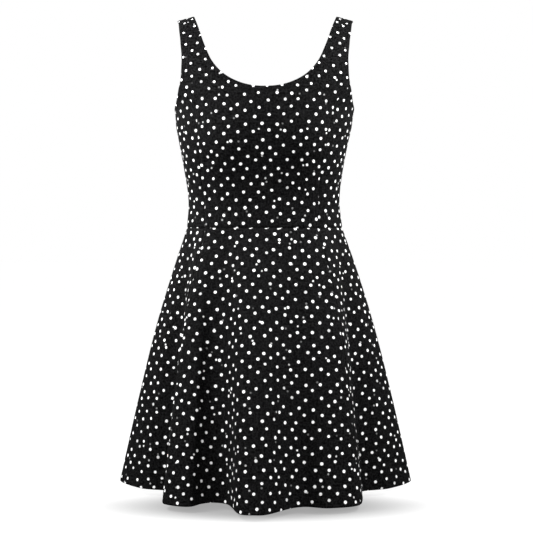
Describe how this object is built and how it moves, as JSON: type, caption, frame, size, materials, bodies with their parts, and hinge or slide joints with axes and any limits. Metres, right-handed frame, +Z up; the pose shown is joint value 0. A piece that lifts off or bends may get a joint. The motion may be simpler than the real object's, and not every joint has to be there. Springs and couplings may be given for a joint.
{
  "type": "fit and flare dress",
  "caption": "Sleeveless scoop-neck dress with a fitted princess-line bodice, straight waist seam and short flared skirt in soft folds, hollow as worn; black knit with white dots.",
  "frame": {"origin": "midway between the two shoulder seams, level with the underside of the straps where a wearer's shoulders carry the dress", "axes": "+Z up, -Y out of the front, +X towards the wearer's left"},
  "size_m": [0.5124, 0.4849, 0.8138],
  "materials": {
    "cloth": "matte black knit with small white polka dots"
  },
  "bodies": {
    "root": {"front_bodice": "cloth", "side_front_left": "cloth", "side_front_right": "cloth", "back_bodice": "cloth", "skirt_front": "cloth", "skirt_side_left": "cloth", "skirt_side_right": "cloth", "skirt_back": "cloth"}
  },
  "joints": []
}
